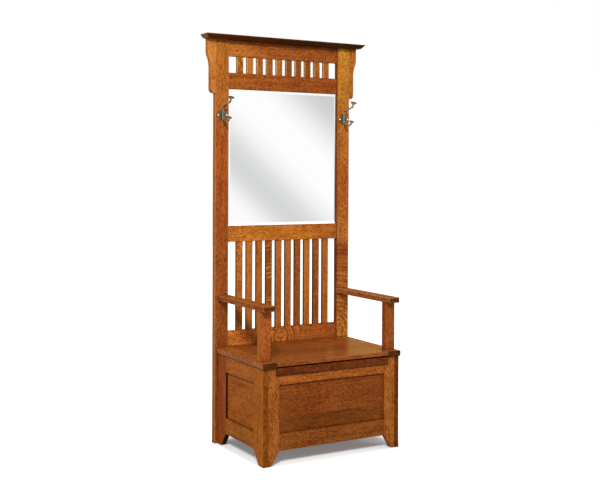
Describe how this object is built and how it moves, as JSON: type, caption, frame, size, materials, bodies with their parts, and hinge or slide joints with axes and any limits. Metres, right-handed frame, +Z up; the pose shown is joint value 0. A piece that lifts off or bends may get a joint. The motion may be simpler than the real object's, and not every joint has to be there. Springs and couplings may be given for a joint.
{
  "type": "hall seat with mirror",
  "caption": "Mission hall seat: lift-lid storage bench with flat arms under a tall slatted back with bevelled mirror, coat hooks and a bevelled crown board.",
  "frame": {"origin": "on the floor, at the centre of the footprint's bounding box", "axes": "+Z up, +Y towards the wall behind, +X to the viewer's right when facing the seat"},
  "size_m": [0.888, 0.508, 1.956],
  "materials": {
    "oak": "quartersawn oak, honey-russet stain, semi-gloss lacquer",
    "oak_dark": "quartersawn oak, dark russet stain, semi-gloss lacquer",
    "plywood": "oak-faced plywood, stained, thin lacquer",
    "hardboard": "plain brown hardboard, matte",
    "mirror_silver": "silvered plate glass with a ground bevel",
    "pewter": "cast metal, dark antique pewter, satin",
    "hinge_steel": "brassed steel, satin",
    "bumper_rubber": "matte rubber"
  },
  "bodies": {
    "frame": {"back_slats": "oak", "bottom_back_rail": "oak", "box_back_panel": "plywood", "box_floor": "plywood", "crest_lower_rail": "oak_dark", "crest_slats": "oak", "crest_upper_rail": "oak", "crown_board": "oak_dark", "floor_cleats": "oak", "front_bottom_rail": "oak", "front_grip_strip": "oak_dark", "front_panel_lower_board": "oak_dark", "front_panel_upper_board": "oak", "front_top_rail": "oak", "hinge_fixed_leaves": "hinge_steel", "hinge_pins": "hinge_steel", "left_arm": "oak", "left_arm_post": "oak", "left_back_post": "oak", "left_coat_hook": "pewter", "left_corbel": "oak", "left_front_stile": "oak", "left_seat_strip": "oak", "left_side_bottom_rail": "oak", "left_side_front_stile": "oak", "left_side_panel": "oak", "left_side_rear_stile": "oak", "left_side_top_rail": "oak", "lid_bumpers": "bumper_rubber", "lower_back_rail": "oak", "mid_rail": "oak", "mirror_backboard": "hardboard", "mirror_glass": "mirror_silver", "mirror_retainers": "oak", "rear_seat_cleat": "oak", "rear_seat_strip": "oak", "right_arm": "oak", "right_arm_post": "oak", "right_back_post": "oak", "right_coat_hook": "pewter", "right_corbel": "oak", "right_front_stile": "oak", "right_seat_strip": "oak", "right_side_bottom_rail": "oak", "right_side_front_stile": "oak", "right_side_panel": "oak", "right_side_rear_stile": "oak", "right_side_top_rail": "oak"},
    "lid": {"lid_board": "oak", "lid_battens": "oak", "hinge_moving_leaves": "hinge_steel"}
  },
  "joints": [
    {"name": "lid_hinge", "type": "hinge", "parent": "frame", "child": "lid", "pos_m": [0, 0.147, 0.46], "axis": [-1, 0, 0], "range_deg": [0, 100]}
  ]
}
